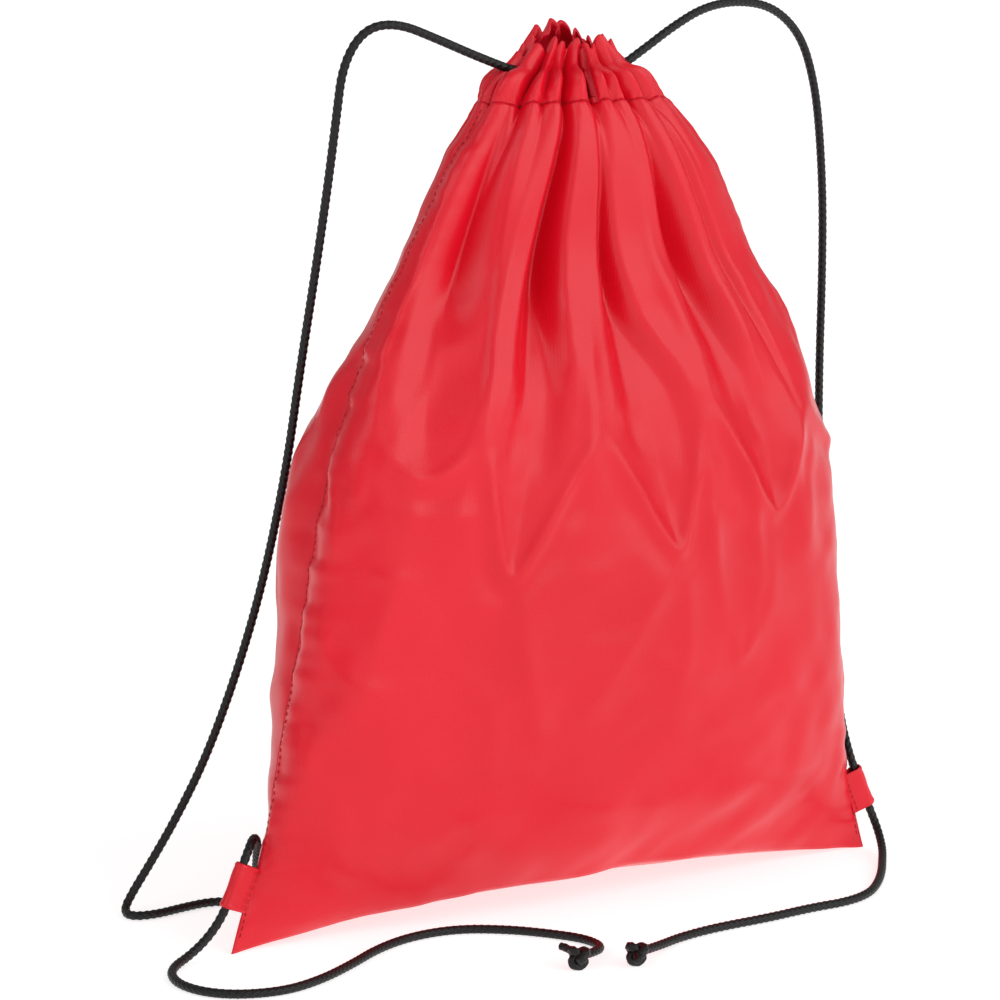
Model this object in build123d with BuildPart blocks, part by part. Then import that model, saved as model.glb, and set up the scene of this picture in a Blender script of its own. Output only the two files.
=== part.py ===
from build123d import *
import os
from math import cos, pi, radians, sin, tan

# Drawstring backpack, standing lightly filled with its mouth drawn shut.
# Millimetres. +X is the bag's right, the front faces -Y, +Z is up, and z = 0 is the surface it stands on.
# The cloth is cut about 340 wide and 430 high before it is filled and gathered.

SEAM_Y = -11.0            # plane that holds both side seams
WALL = 2.0                # wall of the bag's shell
CHANNEL_Z = 357.0         # height of the hem's stitch line
CORD_D = 4.0              # braided cord
CORD_R = CORD_D / 2
TUNNEL_R = 2.35           # radius of the cord's tunnel inside the hems
KNOT_R = 5.6              # overhand knot
TAB_HEIGHT = 20.0         # ribbon width of a tab
TAB_LOOP_R = 3.6          # outside radius of the tab's loop
TAB_BORE_R = 2.7          # inside radius of the tab's loop
TAB_ROOT = 5.6            # distance from the loop's centre to the tab's root at the seam
TAB_ROOT_THICK = 1.1      # one layer of the tab's ribbon at its root
THREAD = 0.7              # thickness of a stitch
THREAD_GAP = 1.3          # distance from the cloth to a stitch's centre line
STITCH = 3.0              # length of a stitch
SIDE_STITCHES = 44
HEM_STITCHES = 24
TAB_STITCHES = 5
TAB_PITCH = 4.0           # distance from one of a tab's stitches to the next

# Level sections of the filled bag: height, half width to the left seam and to the right one, depth in
# front of the seam plane and behind it, and fullness in front and behind. A fullness of one third is a
# pointed lens, one is nearly round, and more bulges out past the seams.
BAG_SECTIONS = [
    (0.0, 168.0, 168.0, -6.0, 50.0, 0.34, 0.34),
    (14.0, 164.0, 164.0, 14.0, 58.0, 0.42, 0.40),
    (50.0, 151.0, 153.0, 34.0, 66.0, 0.80, 0.70),
    (110.0, 139.0, 144.0, 46.0, 70.0, 1.05, 0.95),
    (170.0, 127.0, 132.0, 50.0, 71.2, 1.15, 1.12),
    (215.0, 116.0, 123.0, 48.0, 64.0, 1.20, 1.18),
    (255.0, 102.0, 112.0, 43.0, 54.0, 1.20, 1.18),
    (300.0, 79.0, 89.0, 35.0, 42.0, 1.20, 1.15),
    (335.0, 58.0, 68.0, 28.0, 31.0, 1.15, 1.10),
    (CHANNEL_Z, 46.0, 52.0, 24.0, 24.0, 1.05, 1.05),
]
FLOOR_INSIDE = (WALL, 166.0, 166.0, -3.0, 51.0, 0.34, 0.34)    # the cavity's lowest section

# The gathered hems: the same numbers outside and for the throat inside.
HEM_OUTSIDE = [
    (CHANNEL_Z, 46.0, 52.0, 24.0, 24.0, 1.05, 1.05),
    (366.0, 41.0, 44.0, 22.0, 22.0, 0.90, 0.90),
    (376.0, 32.0, 32.0, 19.5, 19.5, 0.80, 0.80),
    (386.0, 25.0, 25.0, 16.0, 16.0, 0.80, 0.80),
    (393.0, 20.0, 20.0, 13.0, 13.0, 0.80, 0.80),
]
THROAT = [
    (CHANNEL_Z, 42.0, 48.0, 20.0, 20.0, 0.90, 0.90),
    (366.0, 22.0, 22.0, 12.0, 12.0, 0.80, 0.80),
    (376.0, 13.0, 13.0, 6.5, 6.5, 0.80, 0.80),
    (393.0, 12.0, 12.0, 6.0, 6.0, 0.80, 0.80),
]

# Cord routes. The left cord leaves the front hem, arches over, drops behind the left corner to the floor,
# comes back along it, loops up and down through the left tab, and ends in a knot in front of the bag.
LEFT_ROUTE = [
    (-30, -12, 375.5), (-44, -12, 380.5), (-63, -11, 388.5), (-83, -9, 396.5), (-98, -7, 394),
    (-106.5, -4, 379), (-107.5, 0, 357), (-108.5, 6, 328), (-111, 14, 288), (-113.5, 23, 248),
    (-116.5, 32, 200), (-122.5, 43, 150), (-131.5, 52, 108), (-143.5, 59, 70), (-156, 64, 43),
    (-167, 68, 23), (-176, 70, 9), (-182, 67, 2.1), (-183, 57, 2.1), (-172, 54.5, 2.1),
    (-157, 58, 2.1), (-142.5, 60, 2.1), (-132.5, 53, 2.4), (-131, 41, 7), (-136, 28, 17),
    (-141.5, 16, 30), (-146, 6, 43), (-153, -4, 49), (-159.8, -10.6, 43.5), (-165.8, -11.3, 30.8),
    (-172.6, -11, 17), (-180, -11, 8.5), (-189.5, -13, 3.2), (-199, -19, 2.1), (-206, -29, 2.1),
    (-209, -43, 2.1), (-205, -58, 2.1), (-194, -69, 2.1), (-175, -74, 2.1), (-155, -68, 2.1),
    (-134, -56, 2.1), (-112, -41, 2.1), (-90, -33, 2.1), (-68, -34, 2.1), (-50, -46, 2.1),
    (-38, -60, 2.1), (-29, -74, 2.1), (-28.5, -87, 2.5), (-36, -99, 4.2), (-46.8, -104, 5.4),
]
# The right cord leaves the back hem, arches over, hangs behind the right edge to its tab, and ends in front.
RIGHT_ROUTE = [
    (31, -11, 375.5), (42, -11, 382), (56.5, -10, 390.5), (76, -6, 398.5), (99, 0, 400.5),
    (123, 7, 396.5), (143, 14, 383), (153.5, 18, 362), (160, 22, 339), (165.5, 26, 305),
    (167.5, 28.5, 268), (167, 29, 228), (166.5, 28, 188), (168, 25, 148), (170, 21, 112),
    (168, 14, 81), (163.5, 2.5, 60), (160.0, -10.6, 44.3), (165.8, -11.3, 30.8), (171.2, -11.4, 18.4),
    (172, -17, 9.5), (166, -29, 4), (157, -41, 2.1), (145.5, -56, 2.1), (132, -71, 2.1),
    (119, -82, 2.1), (103, -87.5, 2.1), (84, -87, 2.1), (58, -90, 2.1), (30, -90.5, 2.1),
    (8, -94.5, 2.1), (-7.5, -103, 3.2), (-22.6, -111.4, 5.1),
]
# Inside the hems each cord runs half way round the mouth, to where it is sewn in beside the far seam.
LEFT_INSIDE = [(-30, -12, 375.5), (-24.4, -12, 373.5), (-13, -22.5, 373), (8, -24, 373), (19, -19.5, 373)]
RIGHT_INSIDE = [(31, -11, 375.5), (25.5, -11, 372.25), (13, 0.5, 371.5), (-8, 2, 371.5), (-19, -2.5, 371.5)]

# Knot centres, on the line of each cord's last run.
LEFT_KNOT = (-52.0, -106.4, KNOT_R)
RIGHT_KNOT = (-27.7, -114.2, KNOT_R)

# Each tab's loop is centred on its cord beside the seam, tilted with it.
TAB_CENTRE = (166.0, SEAM_Y - 0.2, 30.5)
TAB_LEAN = 24.0

os.makedirs("parts", exist_ok=True)


def finish(part, node):
    part.label = node
    export_step(part, f"parts/{node}.step")
    print(f"{node}: {part.volume:.0f} mm3")


def side_curve(level, sign, grow=0.0):
    """The four Bezier points of a section's front curve (sign -1) or back curve (1), from left to right."""
    z, left, right, front, back, front_full, back_full = level
    left, right = left + grow, right + grow
    depth, full = (front, front_full) if sign < 0 else (back, back_full)
    y = SEAM_Y + sign * (depth + grow) * 4 / 3
    return (-left, SEAM_Y), (-full * left, y), (full * right, y), (right, SEAM_Y)


def section(level, inset=0.0):
    """One level section: a front curve and a back curve that meet at the two seams."""
    with BuildSketch(Plane.XY.offset(level[0])) as sketch:
        with BuildLine():
            Bezier(*side_curve(level, -1, -inset))
            Bezier(*side_curve(level, 1, -inset)[::-1])
        make_face()
    return sketch.sketch


def skin(levels, inset=0.0):
    """The closed solid through a list of level sections."""
    with BuildPart(mode=Mode.PRIVATE) as body:
        loft([section(level, inset) for level in levels])
    return body.part


def bend_radii(route):
    """Largest arc for each corner: 0.45 of the shorter run over the tangent of half the turn."""
    radii = []
    for before, here, after in zip(route, route[1:], route[2:]):
        run_in = Vector(*here) - Vector(*before)
        run_out = Vector(*after) - Vector(*here)
        shorter = min(run_in.length, run_out.length)
        radii.append(0.45 * shorter / tan(radians(run_in.get_angle(run_out)) / 2))
    return radii


def tube(route, radius):
    """A round tube of straight runs joined by tangent arcs."""
    radii = bend_radii(route)
    start = Vector(*route[0])
    direction = Vector(*route[1]) - start
    with BuildPart(mode=Mode.PRIVATE) as body:
        with BuildLine():
            path = FilletPolyline(*route, radius=radii)
        with BuildSketch(Plane(origin=start, z_dir=direction)):
            Circle(radius)
        sweep(path=path)
    return body.part, path.length, radii


def cord(route, node):
    body, length, radii = tube(route, CORD_R)
    expected = pi * CORD_R ** 2 * length
    print(f"{node}: length {length:.0f} mm, volume over section times length {body.volume / expected:.3f}")
    print(f"{node}: radii {[round(r, 1) for r in radii]}")
    finish(body, node)


# Bag cloth: one thin shell, closed at the bottom fold and open at the hem's stitch line.

with BuildPart() as bag_body:
    add(skin(BAG_SECTIONS))
    add(skin([FLOOR_INSIDE] + BAG_SECTIONS[1:], WALL), mode=Mode.SUBTRACT)

finish(bag_body.part, "bag_body")

# Hems: two gathered halves around the throat, each with the cord's tunnel through it.

tunnels = [
    tube(route, TUNNEL_R)[0]
    for route in (LEFT_INSIDE, LEFT_ROUTE[:3], RIGHT_INSIDE, RIGHT_ROUTE[:3])
]


def hem(keep, node):
    with BuildPart() as half:
        add(skin(HEM_OUTSIDE))
        add(skin(THROAT), mode=Mode.SUBTRACT)
        add(tunnels, mode=Mode.SUBTRACT)
        split(bisect_by=Plane.XZ.offset(-SEAM_Y), keep=keep)
    finish(half.part, node)


hem(Keep.TOP, "front_channel")
hem(Keep.BOTTOM, "back_channel")

# Cords, inside the hems and free.

cord(LEFT_INSIDE, "left_channel_cord")
cord(RIGHT_INSIDE, "right_channel_cord")
cord(LEFT_ROUTE, "left_cord")
cord(RIGHT_ROUTE, "right_cord")


def knot(route, centre, tip, node):
    """A rounded knot with a flat where the cord enters it and a short end beside it."""
    end = Vector(*route[-1])
    face = Plane(origin=end, z_dir=end - Vector(*route[-2]))
    stub = Vector(*tip) - Vector(*centre)
    with BuildPart() as ball:
        with Locations(Vector(*centre)):
            Sphere(KNOT_R)
        split(bisect_by=face, keep=Keep.TOP)
        with BuildSketch(Plane(origin=centre, z_dir=stub)):
            Circle(CORD_R)
        extrude(amount=stub.length)
    finish(ball.part, node)


knot(LEFT_ROUTE, LEFT_KNOT, (-54.5, -97.0, 8.5), "left_knot")
knot(RIGHT_ROUTE, RIGHT_KNOT, (-31.0, -121.0, 4.0), "right_knot")


# Tabs: a loop of ribbon round the cord, with its two ends together at the seam.

def tab_plane(side):
    """The tab's own plane: local X points out from the seam, local Z runs up along the cord."""
    x, y, z = TAB_CENTRE
    lean = radians(TAB_LEAN)
    outward = Vector(side * cos(lean), 0, sin(lean))
    upward = Vector(-side * sin(lean), 0, cos(lean))
    return Plane(origin=(side * x, y, z), x_dir=outward, z_dir=upward)


def tab(side, node):
    with BuildPart() as loop:
        with BuildSketch(tab_plane(side)):
            Circle(TAB_LOOP_R)
            with Locations((-TAB_ROOT + TAB_ROOT_THICK / 2, 0)):
                Rectangle(TAB_ROOT_THICK, 2 * TAB_ROOT_THICK)
            make_hull()
            Circle(TAB_BORE_R, mode=Mode.SUBTRACT)
        extrude(amount=TAB_HEIGHT / 2, both=True)
    finish(loop.part, node)


tab(-1, "left_tab")
tab(1, "right_tab")


# Stitches: rows of short separate bars just outside the cloth.

def stitch_row(places, node):
    with BuildPart() as row:
        for place in places:
            with BuildSketch(place):
                Circle(THREAD / 2)
            extrude(amount=STITCH / 2, both=True)
    finish(row.part, node)


def spaced(curve, count):
    """Planes spaced along a curve, each facing along it."""
    return [Plane(origin=curve @ t, z_dir=curve % t) for t in [(i + 0.5) / count for i in range(count)]]


def side_row(side, node):
    outside = []
    for z, left, right, *_ in BAG_SECTIONS[2:]:
        half = left if side < 0 else right
        outside.append((side * (half + THREAD_GAP + THREAD), SEAM_Y, z))
    stitch_row(spaced(Spline(*outside), SIDE_STITCHES), node)


def hem_row(sign, node):
    points = side_curve(BAG_SECTIONS[-1], sign, THREAD_GAP)
    stitch_row(spaced(Bezier(*[(x, y, CHANNEL_Z) for x, y in points]), HEM_STITCHES), node)


def tab_row(side, node):
    plane = tab_plane(side)
    places = []
    for step in range(TAB_STITCHES):
        up = TAB_PITCH * (step - (TAB_STITCHES - 1) / 2)
        spot = plane.from_local_coords(Vector(-TAB_ROOT + THREAD_GAP, -TAB_ROOT_THICK - THREAD_GAP, up))
        places.append(Plane(origin=spot, z_dir=plane.z_dir))
    stitch_row(places, node)


side_row(-1, "left_side_stitching")
side_row(1, "right_side_stitching")
hem_row(-1, "front_channel_stitching")
hem_row(1, "back_channel_stitching")
tab_row(-1, "left_tab_stitching")
tab_row(1, "right_tab_stitching")
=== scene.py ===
import math

import bpy
import numpy as np
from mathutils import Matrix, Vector


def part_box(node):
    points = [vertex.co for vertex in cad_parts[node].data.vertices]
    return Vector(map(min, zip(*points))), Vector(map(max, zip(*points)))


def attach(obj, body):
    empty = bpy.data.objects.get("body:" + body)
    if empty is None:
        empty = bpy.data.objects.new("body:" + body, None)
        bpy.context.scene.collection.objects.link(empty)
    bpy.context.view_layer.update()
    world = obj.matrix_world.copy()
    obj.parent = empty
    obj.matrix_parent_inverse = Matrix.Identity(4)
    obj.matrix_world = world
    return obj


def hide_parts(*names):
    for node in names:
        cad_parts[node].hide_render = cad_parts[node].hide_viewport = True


# A drawstring backpack standing with its mouth drawn shut, in metres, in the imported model's frame.

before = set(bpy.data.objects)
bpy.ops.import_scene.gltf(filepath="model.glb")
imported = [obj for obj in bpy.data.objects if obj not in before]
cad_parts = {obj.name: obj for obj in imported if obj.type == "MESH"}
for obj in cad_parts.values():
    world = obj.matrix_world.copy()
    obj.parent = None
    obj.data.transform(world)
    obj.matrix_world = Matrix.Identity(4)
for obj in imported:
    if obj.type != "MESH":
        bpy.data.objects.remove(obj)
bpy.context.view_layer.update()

MM = 0.001
SHELL_LO, SHELL_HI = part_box("bag_body")
_, HEM_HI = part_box("front_channel")
SEAM_Y = HEM_HI.y                    # plane of the two side seams
SHELL_TOP = SHELL_HI.z
STITCH_Z = SHELL_TOP + 5 * MM        # the hem's stitch line, above the fold that it holds down
HALF = SHELL_HI.x                    # half width at the corners
DEEP_FRONT = SEAM_Y - SHELL_LO.y
DEEP_BACK = SHELL_HI.y - SEAM_Y
FLAT_SIZE = (0.34, 0.86)             # the cloth's cut: both panels and their hems in one piece

CORD_D = 4 * MM
CORD_R = CORD_D / 2


# Camera, floor and light.

def aim(obj, target):
    obj.rotation_euler = (Vector(target) - obj.location).to_track_quat("-Z", "Y").to_euler()


def camera():
    azimuth, elevation, distance = math.radians(-31), math.radians(10.36), 1.7
    centre = Vector((-0.0331, SEAM_Y, 0.1864))
    back = Vector((
        math.sin(azimuth) * math.cos(elevation),
        -math.cos(azimuth) * math.cos(elevation),
        math.sin(elevation),
    ))
    data = bpy.data.cameras.new("camera")
    data.sensor_width = 36
    data.lens = 139.2
    obj = bpy.data.objects.new("camera", data)
    bpy.context.collection.objects.link(obj)
    obj.location = centre + back * distance
    aim(obj, centre)
    bpy.context.scene.camera = obj


def soft_sun(name, azimuth, elevation, spread, strength):
    """A wide soft light from far away. Azimuth 0 is in front of the bag and 90 at its right."""
    a, e, far = math.radians(azimuth), math.radians(elevation), 2.0
    data = bpy.data.lights.new(name, "SUN")
    data.angle = math.radians(spread)
    data.energy = strength
    obj = bpy.data.objects.new(name, data)
    bpy.context.collection.objects.link(obj)
    obj.location = (math.sin(a) * math.cos(e) * far, -math.cos(a) * math.cos(e) * far, math.sin(e) * far)
    aim(obj, (0, 0, 0))


def stage():
    mesh = bpy.data.meshes.new("floor")
    size = 40.0
    mesh.from_pydata(
        [(-size, -size, 0), (size, -size, 0), (size, size, 0), (-size, size, 0)], [], [(0, 1, 2, 3)]
    )
    floor = bpy.data.objects.new("floor", mesh)
    bpy.context.collection.objects.link(floor)
    paint = bpy.data.materials.new("floor_paint")
    paint.use_nodes = True
    shader = paint.node_tree.nodes["Principled BSDF"]
    shader.inputs["Base Color"].default_value = (0.6, 0.6, 0.6, 1)
    shader.inputs["Roughness"].default_value = 0.9
    shader.inputs["Specular IOR Level"].default_value = 0.1
    # The floor glows a little, so that it comes out white with only faint shadows.
    shader.inputs["Emission Color"].default_value = (1, 1, 1, 1)
    shader.inputs["Emission Strength"].default_value = 0.7
    mesh.materials.append(paint)
    world = bpy.data.worlds.new("world")
    world.use_nodes = True
    world.node_tree.nodes["Background"].inputs["Color"].default_value = (1, 1, 1, 1)
    world.node_tree.nodes["Background"].inputs["Strength"].default_value = 0.4
    bpy.context.scene.world = world
    bpy.context.scene.view_settings.view_transform = "Standard"
    soft_sun("key", 32, 22, 60, 1.3)
    soft_sun("fill", -12, 20, 54, 0.45)
    soft_sun("side", -75, 35, 40, 0.5)


# Small tools.

def smoothstep(low, high, value):
    t = np.clip((value - low) / (high - low), 0, 1)
    return t * t * (3 - 2 * t)


def curve_through(xs, ys):
    """A smooth curve through points, without overshoot, as a function of x."""
    xs, ys = np.array(xs, float), np.array(ys, float)
    slope = np.diff(ys) / np.diff(xs)
    m = np.concatenate([[slope[0]], np.zeros(len(xs) - 2), [slope[-1]]])
    for i in range(1, len(xs) - 1):
        a, b = slope[i - 1], slope[i]
        m[i] = 0 if a * b <= 0 else 2 * a * b / (a + b)

    def at(x):
        x = np.clip(x, xs[0], xs[-1])
        i = np.clip(np.searchsorted(xs, x) - 1, 0, len(xs) - 2)
        h = xs[i + 1] - xs[i]
        t = (x - xs[i]) / h
        return (
            (2 * t**3 - 3 * t**2 + 1) * ys[i] + (t**3 - 2 * t**2 + t) * h * m[i]
            + (3 * t**2 - 2 * t**3) * ys[i + 1] + (t**3 - t**2) * h * m[i + 1]
        )

    return at


def noise_2d(seed, cells):
    """Smooth value noise on the unit square, as a function of two arrays."""
    grid = np.random.default_rng(seed).uniform(-1, 1, (cells[0] + 2, cells[1] + 2))

    def at(u, v):
        x, y = np.clip(u, 0, 1) * cells[0], np.clip(v, 0, 1) * cells[1]
        i, j = x.astype(int), y.astype(int)
        fx, fy = x - i, y - j
        fx, fy = fx * fx * (3 - 2 * fx), fy * fy * (3 - 2 * fy)
        low = grid[i, j] * (1 - fx) + grid[i + 1, j] * fx
        high = grid[i, j + 1] * (1 - fx) + grid[i + 1, j + 1] * fx
        return low * (1 - fy) + high * fy

    return at


def new_piece(name, points, faces, material, replaces=(), uv=None):
    mesh = bpy.data.meshes.new(name)
    mesh.from_pydata([tuple(p) for p in points], [], [tuple(f) for f in faces])
    mesh.validate()
    if uv is not None:
        layer = mesh.uv_layers.new(name="UVMap")
        corners = np.zeros(len(mesh.loops), int)
        mesh.loops.foreach_get("vertex_index", corners)
        layer.data.foreach_set("uv", np.array(uv, np.float32)[corners].ravel())
    mesh.materials.append(material)
    mesh.shade_smooth()
    obj = bpy.data.objects.new(name, mesh)
    bpy.context.collection.objects.link(obj)
    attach(obj, "root")
    if replaces:
        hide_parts(*replaces)
    return obj


def grid_faces(columns, rows, closed=False, start=0):
    """Quads of a grid whose point number is row * columns + column."""
    faces = []
    across = columns if closed else columns - 1
    for j in range(rows - 1):
        for i in range(across):
            k = (i + 1) % columns
            faces.append((
                start + j * columns + i, start + j * columns + k,
                start + (j + 1) * columns + k, start + (j + 1) * columns + i,
            ))
    return faces


# Materials.

def node(tree, kind, **values):
    made = tree.nodes.new(kind)
    for key, value in values.items():
        if key.startswith("in_"):
            made.inputs[key[3:].replace("_", " ")].default_value = value
        else:
            setattr(made, key, value)
    return made


def cloth_paint(name, shade, light, weave_scale, gloss):
    """Satin woven nylon: fine threads both ways, soft sheen, and slow changes of tone."""
    material = bpy.data.materials.new(name)
    material.use_nodes = True
    tree = material.node_tree
    shader = tree.nodes["Principled BSDF"]
    shader.inputs["Roughness"].default_value = gloss
    shader.inputs["Specular IOR Level"].default_value = 0.40
    shader.inputs["Sheen Weight"].default_value = 0.03
    shader.inputs["Sheen Roughness"].default_value = 0.35
    shader.inputs["Sheen Tint"].default_value = (1.0, 0.55, 0.55, 1)
    place = node(tree, "ShaderNodeTexCoord")
    tone = node(tree, "ShaderNodeTexNoise", in_Scale=9.0, in_Detail=3.0)
    ramp = node(tree, "ShaderNodeValToRGB")
    ramp.color_ramp.elements[0].position, ramp.color_ramp.elements[0].color = 0.3, shade
    ramp.color_ramp.elements[1].position, ramp.color_ramp.elements[1].color = 0.7, light
    tree.links.new(place.outputs["Object"], tone.inputs["Vector"])
    tree.links.new(tone.outputs["Fac"], ramp.inputs["Fac"])
    tree.links.new(ramp.outputs["Color"], shader.inputs["Base Color"])
    heights = []
    for direction in ("X", "Y"):
        threads = node(
            tree, "ShaderNodeTexWave", wave_type="BANDS", bands_direction=direction,
            in_Scale=weave_scale, in_Distortion=0.6, in_Detail=1.0,
        )
        tree.links.new(place.outputs["UV"], threads.inputs["Vector"])
        heights.append(threads)
    both = node(tree, "ShaderNodeMath", operation="MULTIPLY")
    tree.links.new(heights[0].outputs["Fac"], both.inputs[0])
    tree.links.new(heights[1].outputs["Fac"], both.inputs[1])
    crease = node(tree, "ShaderNodeTexNoise", in_Scale=38.0, in_Detail=4.0, in_Roughness=0.6)
    tree.links.new(place.outputs["Object"], crease.inputs["Vector"])
    weave_bump = node(tree, "ShaderNodeBump", in_Strength=0.16, in_Distance=0.0002)
    crease_bump = node(tree, "ShaderNodeBump", in_Strength=0.12, in_Distance=0.0015)
    tree.links.new(both.outputs["Value"], weave_bump.inputs["Height"])
    tree.links.new(crease.outputs["Fac"], crease_bump.inputs["Height"])
    tree.links.new(weave_bump.outputs["Normal"], crease_bump.inputs["Normal"])
    tree.links.new(crease_bump.outputs["Normal"], shader.inputs["Normal"])
    return material


def braid_paint():
    """Black polyester braid: fine filaments along each strand, and a soft grey glint."""
    material = bpy.data.materials.new("black_braid")
    material.use_nodes = True
    tree = material.node_tree
    shader = tree.nodes["Principled BSDF"]
    shader.inputs["Roughness"].default_value = 0.42
    shader.inputs["Specular IOR Level"].default_value = 0.32
    place = node(tree, "ShaderNodeTexCoord")
    fibres = node(tree, "ShaderNodeTexNoise", in_Scale=700.0, in_Detail=3.0)
    ramp = node(tree, "ShaderNodeValToRGB")
    ramp.color_ramp.elements[0].position = 0.35
    ramp.color_ramp.elements[0].color = (0.002, 0.002, 0.002, 1)
    ramp.color_ramp.elements[1].position = 0.75
    ramp.color_ramp.elements[1].color = (0.007, 0.007, 0.008, 1)
    bump = node(tree, "ShaderNodeBump", in_Strength=0.4, in_Distance=0.0003)
    tree.links.new(place.outputs["Object"], fibres.inputs["Vector"])
    tree.links.new(fibres.outputs["Fac"], ramp.inputs["Fac"])
    tree.links.new(ramp.outputs["Color"], shader.inputs["Base Color"])
    tree.links.new(fibres.outputs["Fac"], bump.inputs["Height"])
    tree.links.new(bump.outputs["Normal"], shader.inputs["Normal"])
    return material


RED = cloth_paint("red_nylon", (0.65, 0.002, 0.014, 1), (0.71, 0.003, 0.018, 1), 260.0, 0.31)
RIBBON = cloth_paint("red_ribbon", (0.62, 0.001, 0.012, 1), (0.70, 0.003, 0.018, 1), 180.0, 0.36)
# Stitch thread: its own red, painted darker than the cloth with the shade of the needle holes and
# puckers along the stitches.
THREAD_WITH_PAINTED_SHADE = cloth_paint("red_thread", (0.36, 0.002, 0.010, 1), (0.46, 0.003, 0.014, 1), 60.0, 0.5)
BLACK = braid_paint()


# Cords.

LEFT_ROUTE = [
    (-30, -12, 375.5), (-44, -12, 380.5), (-63, -11, 388.5), (-83, -9, 396.5), (-98, -7, 394),
    (-106.5, -4, 379), (-107.5, 0, 357), (-108.5, 6, 328), (-111, 14, 288), (-113.5, 23, 248),
    (-116.5, 32, 200), (-122.5, 43, 150), (-131.5, 52, 108), (-143.5, 59, 70), (-156, 64, 43),
    (-167, 68, 23), (-176, 70, 9), (-182, 67, 2.1), (-183, 57, 2.1), (-172, 54.5, 2.1),
    (-157, 58, 2.1), (-142.5, 60, 2.1), (-132.5, 53, 2.4), (-131, 41, 7), (-136, 28, 17),
    (-141.5, 16, 30), (-146, 6, 43), (-153, -4, 49), (-159.8, -10.6, 43.5), (-165.8, -11.3, 30.8),
    (-172.6, -11, 17), (-180, -11, 8.5), (-189.5, -13, 3.2), (-199, -19, 2.1), (-206, -29, 2.1),
    (-209, -43, 2.1), (-205, -58, 2.1), (-194, -69, 2.1), (-175, -74, 2.1), (-155, -68, 2.1),
    (-134, -56, 2.1), (-112, -41, 2.1), (-90, -33, 2.1), (-68, -34, 2.1), (-50, -46, 2.1),
    (-38, -60, 2.1), (-29, -74, 2.1), (-28.5, -87, 2.5), (-36, -99, 4.2), (-46.8, -104, 5.4),
]
RIGHT_ROUTE = [
    (31, -11, 375.5), (42, -11, 382), (56.5, -10, 390.5), (76, -6, 398.5), (99, 0, 400.5),
    (123, 7, 396.5), (143, 14, 383), (153.5, 18, 362), (160, 22, 339), (165.5, 26, 305),
    (167.5, 28.5, 268), (167, 29, 228), (166.5, 28, 188), (168, 25, 148), (170, 21, 112),
    (168, 14, 81), (163.5, 2.5, 60), (160, -10.6, 44.3), (165.8, -11.3, 30.8), (171.2, -11.4, 18.4),
    (172, -17, 9.5), (166, -29, 4), (157, -41, 2.1), (145.5, -56, 2.1), (132, -71, 2.1),
    (119, -82, 2.1), (103, -87.5, 2.1), (84, -87, 2.1), (58, -90, 2.1), (30, -90.5, 2.1),
    (8, -94.5, 2.1), (-7.5, -103, 3.2), (-22.6, -111.4, 5.1),
]
STRANDS = 4                          # strands of the braid in each direction
BRAID_PITCH = 12.4 * MM              # length of one strand's turn
BRAID_DIP = 0.7                      # how far a strand rises and dips where it crosses another
BRAID_TOP = 1 + BRAID_DIP            # height of a strand's back where it passes over


def spline_points(name, points, resolution=24):
    """Points along the smooth NURBS line whose control points are given, in metres."""
    data = bpy.data.curves.new(name, "CURVE")
    data.dimensions = "3D"
    spline = data.splines.new("NURBS")
    spline.points.add(len(points) - 1)
    for point, place in zip(spline.points, points):
        point.co = (*place, 1)
    spline.order_u = 3
    spline.use_endpoint_u = True
    spline.resolution_u = resolution
    obj = bpy.data.objects.new(name, data)
    bpy.context.collection.objects.link(obj)
    mesh = bpy.data.meshes.new_from_object(obj)
    line = np.array([v.co[:] for v in mesh.vertices])
    bpy.data.objects.remove(obj)
    bpy.data.curves.remove(data)
    bpy.data.meshes.remove(mesh)
    return line


def resampled(line, step):
    far = np.concatenate([[0], np.cumsum(np.linalg.norm(np.diff(line, axis=0), axis=1))])
    count = max(4, int(round(far[-1] / step)))
    spots = np.linspace(0, far[-1], count + 1)
    return np.stack([np.interp(spots, far, line[:, k]) for k in range(3)], 1), spots


def carried_frames(line):
    """Two normals along a line, carried along it without twist."""
    ahead = np.gradient(line, axis=0)
    ahead /= np.linalg.norm(ahead, axis=1)[:, None]
    side = np.cross(ahead[0], (0.13, 0.27, 1.0))
    side /= np.linalg.norm(side)
    sides = []
    for direction in ahead:
        side = side - direction * (side @ direction)
        side /= np.linalg.norm(side)
        sides.append(side)
    sides = np.array(sides)
    return sides, np.cross(ahead, sides)


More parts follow.
